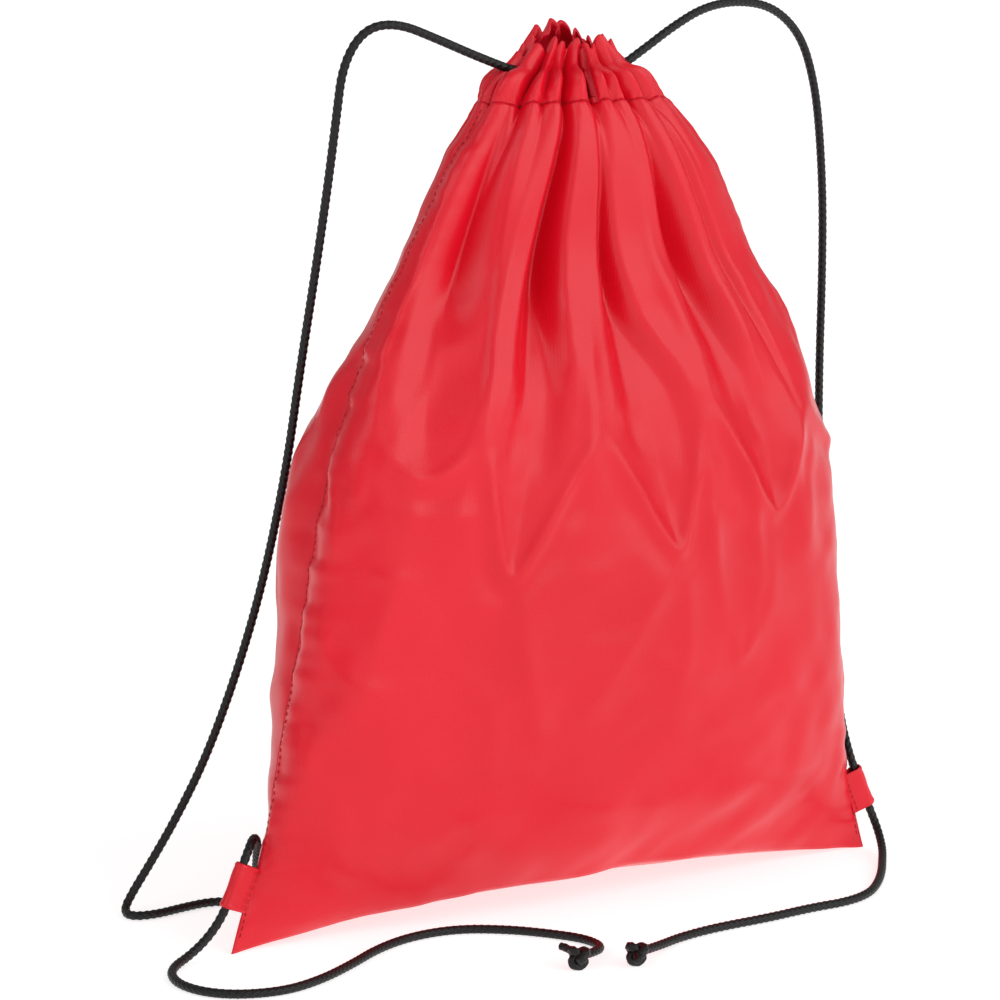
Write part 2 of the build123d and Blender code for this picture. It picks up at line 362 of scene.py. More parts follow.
def braided_tube(name, line, radius, step=0.5 * MM, around=36, replaces=()):
    """A tube whose surface is a plain braid: two sets of strands that pass over and under."""
    line, far = resampled(line, step)
    first, second = carried_frames(line)
    turn = np.arange(around) / around
    u = STRANDS * (turn[None, :] + far[:, None] / BRAID_PITCH)
    v = STRANDS * (turn[None, :] - far[:, None] / BRAID_PITCH)
    arch_u = np.sqrt(np.clip(1 - (2 * (u % 1) - 1) ** 2, 0, 1))
    arch_v = np.sqrt(np.clip(1 - (2 * (v % 1) - 1) ** 2, 0, 1))
    over_u = arch_u + BRAID_DIP * np.where(np.floor(u) % 2, -1, 1) * np.sin(math.pi * v)
    over_v = arch_v - BRAID_DIP * np.where(np.floor(v) % 2, -1, 1) * np.sin(math.pi * u)
    relief = np.clip(np.maximum(over_u, over_v), 0, BRAID_TOP) / BRAID_TOP
    reach = radius * (0.70 + 0.32 * relief)
    angle = 2 * math.pi * turn
    points = (
        line[:, None, :]
        + (reach * np.cos(angle))[:, :, None] * first[:, None, :]
        + (reach * np.sin(angle))[:, :, None] * second[:, None, :]
    ).reshape(-1, 3)
    faces = grid_faces(around, len(line), closed=True)
    ends = [(line[0], 0), (line[-1], (len(line) - 1) * around)]
    points = np.concatenate([points, [end for end, _ in ends]])
    for k, (_, start) in enumerate(ends):
        tip = len(points) - 2 + k
        for i in range(around):
            pair = (start + i, start + (i + 1) % around)
            faces.append((tip, *(pair if k else pair[::-1])))
    uv = np.stack(np.broadcast_arrays(turn[None, :], far[:, None] / (2 * math.pi * radius)), 2)
    uv = np.concatenate([uv.reshape(-1, 2), [(0.5, 0), (0.5, far[-1] / (2 * math.pi * radius))]])
    obj = new_piece(name, points, faces, BLACK, replaces, uv)
    return obj, line, far[-1]


def knot_line(centre, approach, size):
    """An overhand knot drawn tight round the cord's own direction, with its middle at centre."""
    t = np.linspace(0.2, 2 * math.pi - 0.3, 180)
    across, over, along = np.sin(t) + 2 * np.sin(2 * t), np.cos(t) - 2 * np.cos(2 * t), np.sin(3 * t)
    loop = np.stack([across, over, -1.5 * along], 1)
    ahead = Vector(approach).normalized()
    side = ahead.cross(Vector((0, 0, 1))).normalized()
    turn = np.array([side[:], side.cross(ahead)[:], ahead[:]])
    return np.array(centre) + loop * size @ turn


KNOT_ENDS = {"left": (-54.5, -97, 8.5), "right": (-31, -121, 4)}      # tips of the short ends
KNOT_SIZE = 1.3 * MM                 # a third of the knot's radius
KNOT_AHEAD = 5 * MM                  # from the end of the free cord to the knot's middle
KNOT_CORD_R = 2.1 * MM
SHORT_END_R = 1.8 * MM
SHORT_END_BOW = 1.5 * MM


def cords():
    for side, route in (("left", LEFT_ROUTE), ("right", RIGHT_ROUTE)):
        points = [tuple(MM * c for c in p) for p in route]
        line = spline_points(f"{side}_route", points)
        lo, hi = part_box(f"{side}_knot")
        last_run = Vector(points[-1]) - Vector(points[-2])
        middle = Vector(points[-1]) + last_run.normalized() * KNOT_AHEAD
        middle.z = (lo.z + hi.z) / 2
        tight = knot_line(middle, last_run, KNOT_SIZE)
        knot, *_ = braided_tube(f"{side}_knot_braid", tight, KNOT_CORD_R, replaces=[f"{side}_knot"])
        tip = Vector([MM * c for c in KNOT_ENDS[side]])
        bow = (middle + tip) / 2 + Vector((0, 0, SHORT_END_BOW))
        short = spline_points(f"{side}_short", [middle, bow, tip])
        end, *_ = braided_tube(f"{side}_knot_end", short, SHORT_END_R)
        cord, path, length = braided_tube(f"{side}_cord_braid", line, CORD_R, replaces=[f"{side}_cord"])


# The bag's cloth. A point of a panel is (s, z): s runs from -1 at the left seam to 1 at the right seam.

DESIGN = (168, 50, 71.2, 357)        # half width, front depth, back depth and height of the table below
SECTIONS = np.array([
    # height, left and right half widths, front and back depths, front and back fullness
    (0, 168, 168, -6, 50, 0.34, 0.34),
    (14, 164, 164, 14, 58, 0.42, 0.40),
    (50, 151, 155, 34, 66, 0.98, 0.75),
    (80, 145, 149, 41, 69, 1.10, 0.95),
    (110, 139, 144, 46, 70, 1.18, 1.06),
    (140, 132, 137, 49, 71, 1.26, 1.18),
    (170, 127, 132, 50, 71.2, 1.30, 1.26),
    (200, 120, 127, 51, 67, 1.38, 1.38),
    (235, 109, 118, 50, 59, 1.46, 1.38),
    (255, 102, 112, 47.5, 54, 1.50, 1.36),
    (280, 90, 100, 42, 48, 1.55, 1.28),
    (300, 79, 89, 36.5, 42, 1.50, 1.25),
    (320, 67, 77, 31.5, 36, 1.48, 1.26),
    (335, 58, 68, 28, 31, 1.42, 1.26),
    (357, 45, 52, 24, 24, 1.25, 1.18),
    (366, 41, 44, 22.5, 22.5, 1.15, 1.10),
    (374, 34, 35, 20, 20, 1.10, 1.10),
    (381, 26, 27, 16.5, 16.5, 1.10, 1.10),
    (387, 20, 21, 14, 14, 1.10, 1.10),
    (393, 15, 16, 11, 11, 1.10, 1.10),
    (400, 11, 12, 8.5, 8.5, 1.10, 1.10),
], float)
HEIGHTS = SECTIONS[:, 0] / DESIGN[3] * SHELL_TOP
left_half = curve_through(HEIGHTS, SECTIONS[:, 1] / DESIGN[0] * HALF)
right_half = curve_through(HEIGHTS, SECTIONS[:, 2] / DESIGN[0] * HALF)
front_depth = curve_through(HEIGHTS, SECTIONS[:, 3] / DESIGN[1] * DEEP_FRONT)
back_depth = curve_through(HEIGHTS, SECTIONS[:, 4] / DESIGN[2] * DEEP_BACK)
front_full = curve_through(HEIGHTS, SECTIONS[:, 5])
back_full = curve_through(HEIGHTS, SECTIONS[:, 6])
CORD_Z = 378 * MM                    # height of the cord inside the hem
RUFFLE_Z = 392 * MM                  # height by which the ruffle has spread to its full size
LIFT = 15 * MM                       # how far the fold at the bottom rises in the middle


def envelope(s, z, front):
    """The smooth outside of a panel, before its folds: each section is one cubic Bezier curve."""
    left, right, t = left_half(z), right_half(z), (s + 1) / 2
    deep, full = (-front_depth(z), front_full(z)) if front else (back_depth(z), back_full(z))
    x = -left * (1 - t)**2 * (1 - t + 3 * full * t) + right * t**2 * (t + 3 * full * (1 - t))
    return np.stack([x, SEAM_Y + deep * 4 * t * (1 - t), z], -1)


ARC_HALF = 80                        # steps of s from the middle to a seam, in the table of distances
ARC_STEPS = 80                       # steps of height in it
TALLEST = 0.4                        # its last height, above the whole cloth
MAP_STEPS = np.linspace(-1, 1, 2 * ARC_HALF + 1)


def arc_table():
    """The distance along a section from its middle, for steps of s and z."""
    s, z = MAP_STEPS, np.linspace(0, TALLEST, ARC_STEPS + 1)
    points = envelope(*np.broadcast_arrays(s[None, :], z[:, None]), True)
    steps = np.linalg.norm(np.diff(points, axis=1), axis=2)
    far = np.concatenate([np.zeros((len(z), 1)), np.cumsum(steps, axis=1)], axis=1)
    return far - far[:, ARC_HALF:ARC_HALF + 1]


ARC = arc_table()


def arc(s, z):
    x = np.clip((s + 1) * ARC_HALF, 0, 2 * ARC_HALF - 0.001)
    y = np.clip(z * (ARC_STEPS / TALLEST), 0, ARC_STEPS - 0.001)
    i, j = x.astype(int), y.astype(int)
    fx, fy = x - i, y - j
    low = ARC[j, i] * (1 - fx) + ARC[j, i + 1] * fx
    high = ARC[j + 1, i] * (1 - fx) + ARC[j + 1, i + 1] * fx
    return low * (1 - fy) + high * fy


def columns_of(count):
    """Values of s that lie equally far apart half way up the bag."""
    middle = ARC[ARC_STEPS // 2]
    return np.interp(np.linspace(middle[0], middle[-1], count), middle, MAP_STEPS)


def rounded(points, times=3):
    """Cuts the corners of an open line of points, a few times over."""
    line = np.array(points, float)
    for _ in range(times):
        first, second = line[:-1] * 0.75 + line[1:] * 0.25, line[:-1] * 0.25 + line[1:] * 0.75
        middle = np.stack([first, second], 1).reshape(-1, 2)
        line = np.concatenate([line[:1], middle, line[-1:]])
    return line


def inside_distance(outline, s, z):
    """Distance in metres from the points (s, z) to an open outline, positive inside it."""
    line = np.stack([arc(outline[:, 0], outline[:, 1]), outline[:, 1]], 1)
    px, pz = arc(s, z), z
    best = np.full(s.shape, np.inf)
    crossings = np.zeros(s.shape, int)
    above = TALLEST + 0.1
    ring = np.concatenate([line, [(line[-1, 0], above), (line[0, 0], above)]])
    for k in range(len(ring)):
        (ax, az), (bx, bz) = ring[k], ring[(k + 1) % len(ring)]
        if az != bz:
            hit = (az > pz) != (bz > pz)
            at = ax + (pz - az) / (bz - az) * (bx - ax)
            crossings += hit & (px < at)
        if k < len(line) - 1:
            long = (bx - ax)**2 + (bz - az)**2
            t = np.clip(((px - ax) * (bx - ax) + (pz - az) * (bz - az)) / long, 0, 1)
            best = np.minimum(best, np.hypot(px - ax - t * (bx - ax), pz - az - t * (bz - az)))
    return np.where(crossings % 2 == 1, best, -best)


# Folds: the outline from the hem down one side to the tip and up the other (s, height in mm), the
# depth in mm at heights from the tip up, how far in from the rim it reaches that depth, and the rim.
FRONT_FOLDS = [
    dict(
        outline=[
            (-0.86, 400), (-0.88, 357), (-0.80, 320), (-0.78, 281), (-0.73, 240), (-0.61, 214),
            (-0.50, 206), (-0.41, 214), (-0.36, 250), (-0.37, 288), (-0.41, 320), (-0.47, 350),
            (-0.46, 400),
        ],
        depth=[(205, 0), (225, 1), (260, 5), (310, 14), (340, 15), (357, 10), (376, 6)],
        reach=22, rim=0.9,
    ),
    dict(
        outline=[
            (-0.24, 400), (-0.25, 357), (-0.27, 335), (-0.28, 300), (-0.29, 249), (-0.33, 215),
            (-0.31, 185), (-0.25, 164), (-0.19, 180), (-0.16, 200), (-0.14, 245), (-0.16, 290),
            (-0.17, 333), (-0.15, 400),
        ],
        depth=[(164, 0), (190, 0.5), (225, 3), (260, 9), (300, 18), (340, 19), (357, 15), (376, 8)],
        reach=10, rim=0.9,
    ),
    dict(
        outline=[
            (-0.03, 400), (-0.06, 357), (-0.06, 305), (-0.04, 233), (-0.02, 212), (0.05, 187),
            (0.12, 170), (0.16, 184), (0.17, 204), (0.15, 240), (0.06, 267), (0.02, 289),
            (-0.01, 328), (-0.03, 357), (0.00, 400),
        ],
        depth=[(170, 0), (195, 0.5), (230, 3), (265, 8), (300, 16), (340, 17), (357, 13), (376, 7)],
        reach=9, rim=0.8,
    ),
    dict(
        outline=[
            (0.21, 400), (0.20, 357), (0.17, 335), (0.17, 290), (0.21, 237), (0.25, 210),
            (0.32, 188), (0.38, 180), (0.41, 192), (0.41, 209), (0.38, 237), (0.33, 272),
            (0.31, 311), (0.27, 340), (0.26, 357), (0.27, 400),
        ],
        depth=[(178, 0), (200, 0.5), (235, 4), (270, 10), (310, 15), (340, 13), (357, 9), (376, 5)],
        reach=11, rim=1.0,
    ),
    dict(
        outline=[
            (0.35, 400), (0.35, 357), (0.34, 331), (0.37, 302), (0.38, 268), (0.47, 234),
            (0.51, 211), (0.52, 206), (0.50, 231), (0.44, 267), (0.42, 303), (0.40, 337),
            (0.45, 358), (0.41, 400),
        ],
        depth=[(200, 0), (225, 2), (265, 8), (310, 12), (340, 10), (357, 6), (376, 4)], reach=9, rim=0.9,
    ),
]
BACK_FOLDS = [
    dict(
        outline=[
            (-0.80, 400), (-0.80, 357), (-0.84, 310), (-0.82, 260), (-0.72, 222), (-0.62, 232),
            (-0.56, 270), (-0.57, 320), (-0.60, 357), (-0.60, 400),
        ],
        depth=[(222, 0), (250, 3), (300, 11), (340, 10), (357, 6), (376, 4)], reach=11, rim=0.8,
    ),
    dict(
        outline=[
            (-0.36, 400), (-0.36, 357), (-0.40, 310), (-0.42, 250), (-0.40, 200), (-0.32, 168),
            (-0.24, 192), (-0.22, 250), (-0.25, 310), (-0.28, 357), (-0.28, 400),
        ],
        depth=[(168, 0), (200, 1), (260, 8), (310, 14), (340, 12), (357, 8), (376, 5)], reach=9, rim=0.9,
    ),
    dict(
        outline=[
            (-0.04, 400), (-0.04, 357), (-0.05, 310), (-0.07, 260), (-0.03, 220), (0.06, 196),
            (0.14, 216), (0.15, 260), (0.10, 310), (0.05, 357), (0.05, 400),
        ],
        depth=[(196, 0), (225, 2), (265, 8), (310, 13), (340, 12), (357, 8), (376, 5)], reach=9, rim=0.8,
    ),
    dict(
        outline=[
            (0.30, 400), (0.30, 357), (0.31, 310), (0.32, 250), (0.37, 198), (0.46, 170),
            (0.54, 200), (0.54, 260), (0.48, 320), (0.40, 357), (0.40, 400),
        ],
        depth=[(170, 0), (200, 1), (250, 6), (300, 12), (340, 11), (357, 7), (376, 5)],
        reach=10, rim=0.9,
    ),
    dict(
        outline=[
            (0.62, 400), (0.62, 357), (0.68, 320), (0.72, 275), (0.80, 236), (0.87, 250),
            (0.88, 300), (0.82, 340), (0.76, 357), (0.76, 400),
        ],
        depth=[(236, 0), (270, 5), (310, 9), (340, 8), (357, 5), (376, 4)], reach=9, rim=0.7,
    ),
]
# The edge where the gathered upper part meets the flat lower part: (s, height in mm) from seam to seam.
FRONT_ZIGZAG = [
    (-1.0, 236), (-0.86, 240), (-0.71, 229), (-0.60, 214), (-0.50, 205), (-0.43, 209), (-0.37, 226),
    (-0.34, 222), (-0.32, 195), (-0.295, 170), (-0.27, 160), (-0.24, 165), (-0.19, 184),
    (-0.13, 208), (-0.08, 226), (-0.03, 209), (0.03, 190), (0.09, 170), (0.12, 165), (0.14, 176),
    (0.155, 206), (0.17, 236), (0.20, 230), (0.26, 210), (0.33, 187), (0.385, 175), (0.42, 181),
    (0.45, 198), (0.50, 220), (0.55, 228), (0.62, 214), (0.75, 203), (0.88, 201), (1.0, 214),
]
BACK_ZIGZAG = [
    (-1.0, 240), (-0.86, 234), (-0.72, 221), (-0.60, 232), (-0.52, 246), (-0.42, 205), (-0.35, 170),
    (-0.31, 166), (-0.22, 200), (-0.12, 234), (-0.04, 212), (0.04, 193), (0.09, 194), (0.16, 220),
    (0.24, 240), (0.36, 202), (0.44, 170), (0.48, 169), (0.54, 206), (0.62, 242), (0.72, 234),
    (0.80, 228), (1.0, 238),
]
FACET_SLOPE = 0.36                   # how steeply the cloth leans back just above the edge
FACET_DEPTH = 10 * MM                # how far back it ends at most
# Soft creases of the lower half: (s, height in mm) from end to end, height in mm and width in mm.
FRONT_CREASES = [
    ([(-0.25, 164), (-0.22, 120), (-0.16, 85)], 1.6, 9),
    ([(-0.52, 201), (-0.56, 152), (-0.65, 97)], 1.2, 10),
    ([(0.12, 170), (0.02, 130), (-0.08, 95)], 1.2, 9),
    ([(0.12, 170), (0.15, 128), (0.13, 100)], 0.9, 7),
    ([(0.19, 238), (0.18, 205), (0.21, 161), (0.24, 133)], 1.3, 5),
    ([(0.19, 238), (0.28, 206), (0.35, 162), (0.32, 130)], 1.3, 5),
    ([(0.27, 123), (0.29, 109), (0.34, 126)], 0.7, 4),
    ([(0.38, 180), (0.39, 152), (0.35, 122)], 0.8, 6),
    ([(0.47, 228), (0.47, 188), (0.51, 156)], 1.4, 8),
    ([(0.52, 201), (0.53, 175), (0.51, 157)], 1.1, 7),
    ([(-0.83, 142), (-0.68, 120), (-0.50, 112)], 0.6, 5),
    ([(-0.82, 87), (-0.69, 74), (-0.57, 76)], 0.6, 4),
    ([(-0.54, 191), (-0.38, 189), (-0.34, 192)], 0.5, 3), ([(-0.65, 167), (-0.51, 164)], 0.4, 3),
    ([(-0.97, 214), (-0.80, 191), (-0.81, 169)], 0.7, 4),
    ([(0.06, 120), (0.16, 104), (0.23, 107)], 0.5, 4),
    ([(-0.36, 121), (-0.27, 101), (-0.28, 71)], 0.7, 8),
    ([(0.41, 113), (0.48, 88), (0.61, 75)], 0.6, 9),
    ([(-0.16, 60), (0.07, 44), (0.24, 51)], 0.5, 9),
    ([(0.12, 330), (0.11, 290), (0.18, 255)], 0.8, 5),
    ([(-0.34, 330), (-0.34, 270), (-0.36, 215)], 0.9, 4),
    ([(-0.54, 291), (-0.51, 251), (-0.58, 226)], 0.9, 7),
    ([(0.12, 300), (0.17, 262), (0.18, 240)], 0.8, 5),
    ([(-0.10, 280), (-0.10, 230), (-0.10, 190)], 1.2, 6),
]
BACK_CREASES = [
    ([(-0.72, 222), (-0.70, 180), (-0.78, 130)], 1.3, 9),
    ([(-0.32, 168), (-0.36, 120), (-0.50, 80)], 1.4, 9),
    ([(0.06, 196), (0.00, 150), (-0.08, 105)], 1.3, 8),
    ([(0.06, 196), (0.12, 150), (0.16, 120)], 1.0, 7),
    ([(0.46, 170), (0.42, 130), (0.50, 90)], 1.3, 9),
    ([(0.80, 236), (0.76, 190), (0.82, 140)], 1.2, 8),
    ([(-0.90, 120), (-0.76, 100), (-0.60, 104)], 0.7, 5),
    ([(0.20, 90), (0.35, 76), (0.55, 80)], 0.6, 6),
    ([(0.90, 130), (0.80, 112), (0.70, 118)], 0.6, 5),
    ([(-0.20, 70), (0.00, 56), (0.20, 60)], 0.5, 7),
]
# The pleats gathered on the cord: (s, depth in mm), and the heights of the ruffle between them in mm.
FRONT_PINCHES = (
    (-0.93, 6), (-0.53, 7), (-0.36, 4), (-0.20, 7), (-0.01, 7), (0.13, 2.5), (0.26, 7), (0.45, 4),
    (0.66, 5), (0.85, 6),
)
FRONT_TOPS = (383, 386, 389, 387, 388, 386, 386, 389, 389, 387, 385)
BACK_PINCHES = (
    (-0.86, 5), (-0.70, 8), (-0.50, 5), (-0.32, 8), (0.00, 7), (0.34, 8), (0.52, 5), (0.69, 8),
    (0.88, 5),
)
BACK_TOPS = (383, 386, 390, 393, 395, 394, 391, 388, 386, 383)
FRONT = (FRONT_FOLDS, FRONT_ZIGZAG, FRONT_CREASES, FRONT_PINCHES, 11)
BACK = (BACK_FOLDS, BACK_ZIGZAG, BACK_CREASES, BACK_PINCHES, 23)
LOBE_ROUND = 3.5 * MM                # how far a lobe's ends lie below its top
CREASE_GAIN = 2.1                    # the creases' heights above are multiplied by this


def fold_offset(folds, s, z):
    """How far the folds under the hem push the cloth in, as a negative distance."""
    offset = np.zeros(s.shape)
    for fold in folds:
        outline = np.array(fold["outline"], float) * (1, MM)
        distance = inside_distance(rounded(outline), s, z)
        heights, depths = zip(*fold["depth"])
        deep = curve_through(np.array(heights) * MM, np.array(depths) * MM)(z)
        share = np.clip(distance / (fold["reach"] * MM), 0, 1)
        offset -= deep * share * share * (3 - 2 * share)
        beside = np.exp(-(distance / (11 * MM))**2) * (distance < 0)
        beside *= smoothstep(0.20, 0.26, z) * (1 - smoothstep(0.345, 0.365, z))
        offset += fold["rim"] * MM * beside
    return offset


def facet_offset(zigzag, s, z):
    """The cloth leans back above a zigzag edge: crisp round the low tips and soft at the high points."""
    above = inside_distance(rounded(np.array(zigzag, float) * (1, MM)), s, z)
    blur = (0.8 + 7 * smoothstep(0.190, 0.235, z)) * MM
    lean = -FACET_DEPTH * (1 - np.exp(-FACET_SLOPE * blur * np.logaddexp(0, above / blur) / FACET_DEPTH))
    low = 1 - smoothstep(0.195, 0.232, z)
    line = low * 1.6 * MM * np.exp(-(above / (2.6 * MM))**2)
    under = -1.0 * MM * low * np.exp(-((above + 8 * MM) / (4.5 * MM))**2)
    return lean * (1 - smoothstep(0.285, 0.345, z)) + line + under


def crease_offset(creases, s, z):
    offset = np.zeros(s.shape)
    px, pz = arc(s, z), z
    for points, high, wide in creases:
        line = rounded(np.array(points, float) * (1, MM))
        line[:, 0] = arc(line[:, 0], line[:, 1])
        steps = np.concatenate([[0], np.cumsum(np.linalg.norm(np.diff(line, axis=0), axis=1))])
        best, spot = np.full(s.shape, np.inf), np.zeros(s.shape)
        for k in range(len(line) - 1):
            (ax, az), (bx, bz) = line[k], line[k + 1]
            long = (bx - ax)**2 + (bz - az)**2
            t = np.clip(((px - ax) * (bx - ax) + (pz - az) * (bz - az)) / long, 0, 1)
            distance = np.hypot(px - ax - t * (bx - ax), pz - az - t * (bz - az))
            nearer = distance < best
            best = np.where(nearer, distance, best)
            spot = np.where(nearer, (steps[k] + t * (steps[k + 1] - steps[k])) / steps[-1], spot)
        taper = np.sin(math.pi * np.clip(0.06 + 0.88 * spot, 0, 1))
        offset += CREASE_GAIN * high * MM * taper * np.exp(-(best / (wide * MM))**1.5)
    return offset


def lobes(pinches, s):
    """0 in each pinch and 1 half way to the next, and which lobe s is in."""
    edges = np.array([-1.0, *(place for place, _ in pinches), 1.0])
    k = np.clip(np.searchsorted(edges, s, side="right") - 1, 0, len(edges) - 2)
    return np.sin(math.pi * np.clip((s - edges[k]) / (edges[k + 1] - edges[k]), 0, 1)), k


def gather_offset(pinches, s, z):
    """The pleats that the cord gathers: narrow pinches at the cord, with round lobes between them."""
    loose = 1 - 0.55 * smoothstep(CORD_Z + 2 * MM, CORD_Z + 10 * MM, z)
    tight = smoothstep(0.348, CORD_Z - 2 * MM, z) * loose
    faint = 0.4 * smoothstep(0.310, 0.358, z) * (1 - smoothstep(0.362, 0.372, z))
    offset = np.zeros(s.shape)
    for place, deep in pinches:
        distance = np.abs(arc(s, z) - arc(np.full(s.shape, place), z))
        offset = np.minimum(offset, -deep * MM * np.exp(-(distance / (2.6 * MM))**1.25))
    swell, _ = lobes(pinches, s)
    below = np.exp(-((z - CORD_Z + 7 * MM) / (6 * MM))**2)
    puff = 3.0 * below + 2.6 * smoothstep(CORD_Z + 5 * MM, RUFFLE_Z, z)
    groove = 1.6 * np.exp(-((z - CORD_Z) / (3 * MM))**2)
    return offset * (tight + faint) + (puff * swell * tight - groove) * MM


def cloth_point(s, z, front):
    """The finished cloth: envelope, folds, gathers, creases, seam puckers and small wrinkles."""
    folds, zigzag, creases, pinches, seed = FRONT if front else BACK
    step = 0.1 * MM
    here = envelope(s, z, front)
    right, left = np.clip(s + step, -1, 1), np.clip(s - step, -1, 1)
    across = envelope(right, z, front) - envelope(left, z, front)
    up = envelope(s, z + step, front) - envelope(s, np.maximum(z - step, 0), front)
    normal = np.cross(across, up) if front else np.cross(up, across)
    normal /= np.maximum(np.linalg.norm(normal, axis=-1, keepdims=True), 1e-12)
    to_seam = np.abs(arc(np.sign(s), z) - arc(s, z))
    free = 1 - np.exp(-(to_seam / (9 * MM))**1.3)      # nothing moves at the seam itself
    offset = fold_offset(folds, s, z) + facet_offset(zigzag, s, z) + crease_offset(creases, s, z)
    offset = offset * free
    offset += gather_offset(pinches, s, z) * (1 - np.exp(-to_seam / (2.5 * MM)))
    low = 1 - smoothstep(0.25, 0.34, z)                # wrinkles only below the gathers
    big, small = noise_2d(seed, (12, 15)), noise_2d(seed + 1, (30, 38))
    u, v = (s + 1) / 2, z / TALLEST
    offset += (1.9 * big(u, v) + 0.55 * small(u, v)) * MM * low * free
    beat = 0.9 * np.sin(2 * math.pi * z / (8.5 * MM) + 1.5 * np.sin(z * 61) + np.sign(s))
    ragged = noise_2d(seed + 2, (2, 60))((np.sign(s) + 1) / 2 * 0.9 + 0.05, v)
    pucker = (0.5 * beat + 1.2 * ragged) * MM * np.exp(-(to_seam / (14 * MM))**1.4)
    pucker *= smoothstep(0.0, 0.02, z) * (1 - smoothstep(0.34, 0.36, z))
    pucker *= smoothstep(0, 2.2 * MM, to_seam)
    stitch = np.exp(-((z - STITCH_Z) / (1.3 * MM))**2)
    nip = 0.5 + 0.5 * np.sin(2 * math.pi * arc(s, z) / (3.1 * MM))
    near = np.exp(-((z - STITCH_Z) / (5 * MM))**2)
    offset += pucker - (0.7 * MM * stitch + 0.4 * MM * near * nip) * free
    swell, number = lobes(pinches, s)
    lean = 1.3 * MM * np.sin(2.4 * number + seed) * smoothstep(CORD_Z, RUFFLE_Z, z)
    point = here + normal * offset[..., None]
    point[..., 0] += lean
    wave = (1.1 + 0.7 * np.sin(1.9 * number + seed)) * MM
    point[..., 2] += wave * (swell - 0.65) * np.exp(-((z - STITCH_Z) / (10 * MM))**2)
    return point, normal


def panel_grid(front, s, rows):
    t = np.linspace(0, 1, rows)
    base = LIFT * np.clip(1 - s**2, 0, 1)**1.3 if front else 0 * s
    z = base[None, :] + (STITCH_Z - base)[None, :] * (t * (1.22 - 0.22 * t))[:, None]
    return np.broadcast_to(s, z.shape), z


def softened(rows, first, last, times=2):
    """Takes the steps out of steep folds, within some rows of a grid of points."""
    for _ in range(times):
        part = rows[first:last]
        part[:, 1:-1] = part[:, 1:-1] * 0.5 + (part[:, :-2] + part[:, 2:]) * 0.25
        part[1:-1] = part[1:-1] * 0.5 + (part[:-2] + part[2:]) * 0.25
    return rows


COLUMNS = 270                        # points across the cloth, from seam to seam
CLOTH_THICK = 0.3 * MM
EDGE_ROWS = 4                        # rows at a panel's ends that aren't softened
HEM_CUT = 0.07                       # how much of the cloth's length one hem takes


def bag():
    """Both panels and the fold under them, as one cloth, with the hems on top."""
    s = columns_of(COLUMNS)
    front_rows, base_rows, back_rows = 240, 14, 150
    front, _ = cloth_point(*panel_grid(True, s, front_rows), True)
    back, _ = cloth_point(*panel_grid(False, s, back_rows), False)
    front = softened(front, EDGE_ROWS, front_rows - EDGE_ROWS)
    back = softened(back, EDGE_ROWS, back_rows - EDGE_ROWS)
    share = np.linspace(0, 1, base_rows + 2)[1:-1, None, None]
    base = front[:1] * (1 - share) + back[:1] * share
    base[..., 2] = front[:1, :, 2] * (1 - share[..., 0])**1.7
    rows = np.concatenate([front[::-1], base, back])
    rows[..., 2] = np.maximum(rows[..., 2], 0.2 * MM)
    down = np.linalg.norm(np.diff(rows[:, len(s) // 2], axis=0), axis=1)
    down = np.concatenate([[0], np.cumsum(down)])
    uv = np.stack(np.broadcast_arrays(np.linspace(0, FLAT_SIZE[0], len(s))[None, :], down[:, None]), -1)
    faces = [face[::-1] for face in grid_faces(len(s), len(rows))]
    cloth = new_piece(
        "bag_cloth", rows.reshape(-1, 3), faces, RED, ["bag_body"], uv.reshape(-1, 2)
    )
    thicken(cloth, CLOTH_THICK)
    hems = [channel(True), channel(False)]


def thicken(obj, thickness, offset=-1.0):
    solid = obj.modifiers.new("thickness", "SOLIDIFY")
    solid.thickness = thickness
    solid.offset = offset


def channel(front):
    """The hem: up from the stitch line, over the ruffled top and down inside, round the cord."""
    pinches, tops = (FRONT_PINCHES, FRONT_TOPS) if front else (BACK_PINCHES, BACK_TOPS)
    s = np.unique(np.concatenate([np.linspace(-1, 1, 421), columns_of(COLUMNS)]))
    swell, number = lobes(pinches, s)
    top = np.array(tops)[number] * MM - LOBE_ROUND * (1 - swell**0.5)
    window = np.hanning(15) / np.hanning(15).sum()
    top = np.convolve(np.pad(top, 7, mode="edge"), window, mode="valid")
    t = np.linspace(0, 1, 40)[:, None]
    z = STITCH_Z + (top[None, :] - STITCH_Z) * t
    outer, normal = cloth_point(np.broadcast_to(s, z.shape), z, front)
    roll = np.array([0.5, 0.95, 0.5])[:, None] * MM
    deep = np.array([0.25, 1.1, 1.95])[:, None] * MM
    crest = outer[-1:] - normal[-1:] * deep[..., None]
    crest[..., 2] += roll
    z_in = STITCH_Z + (top[None, :] - STITCH_Z) * np.linspace(1, 0.1, 18)[:, None]
    inner, facing = cloth_point(np.broadcast_to(s, z_in.shape), z_in, front)
    gap = (1.2 + 1.0 * np.exp(-((z_in - top[None, :]) / (5 * MM))**2)) * MM
    inner = inner - facing * (gap * np.clip((1 - np.abs(s)) * 12, 0.15, 1))[..., None]
    rows = np.concatenate([outer, crest, inner])
    side = -1 if front else 1
    rows[..., 1] = SEAM_Y + side * np.maximum(side * (rows[..., 1] - SEAM_Y), 0.2 * MM)
    faces = grid_faces(len(s), len(rows))
    faces = faces if front else [face[::-1] for face in faces]
    across = (s + 1) / 2 * FLAT_SIZE[0]
    uv = np.stack(np.broadcast_arrays(across[None, :], np.linspace(0, HEM_CUT, len(rows))[:, None]), -1)
    name = "front" if front else "back"
    hem = new_piece(
        f"{name}_hem", rows.reshape(-1, 3), faces, RED, [f"{name}_channel"],
        uv.reshape(-1, 2),
    )
    thicken(hem, CLOTH_THICK)
    return hem


# Cords inside the hems, tabs and stitches.

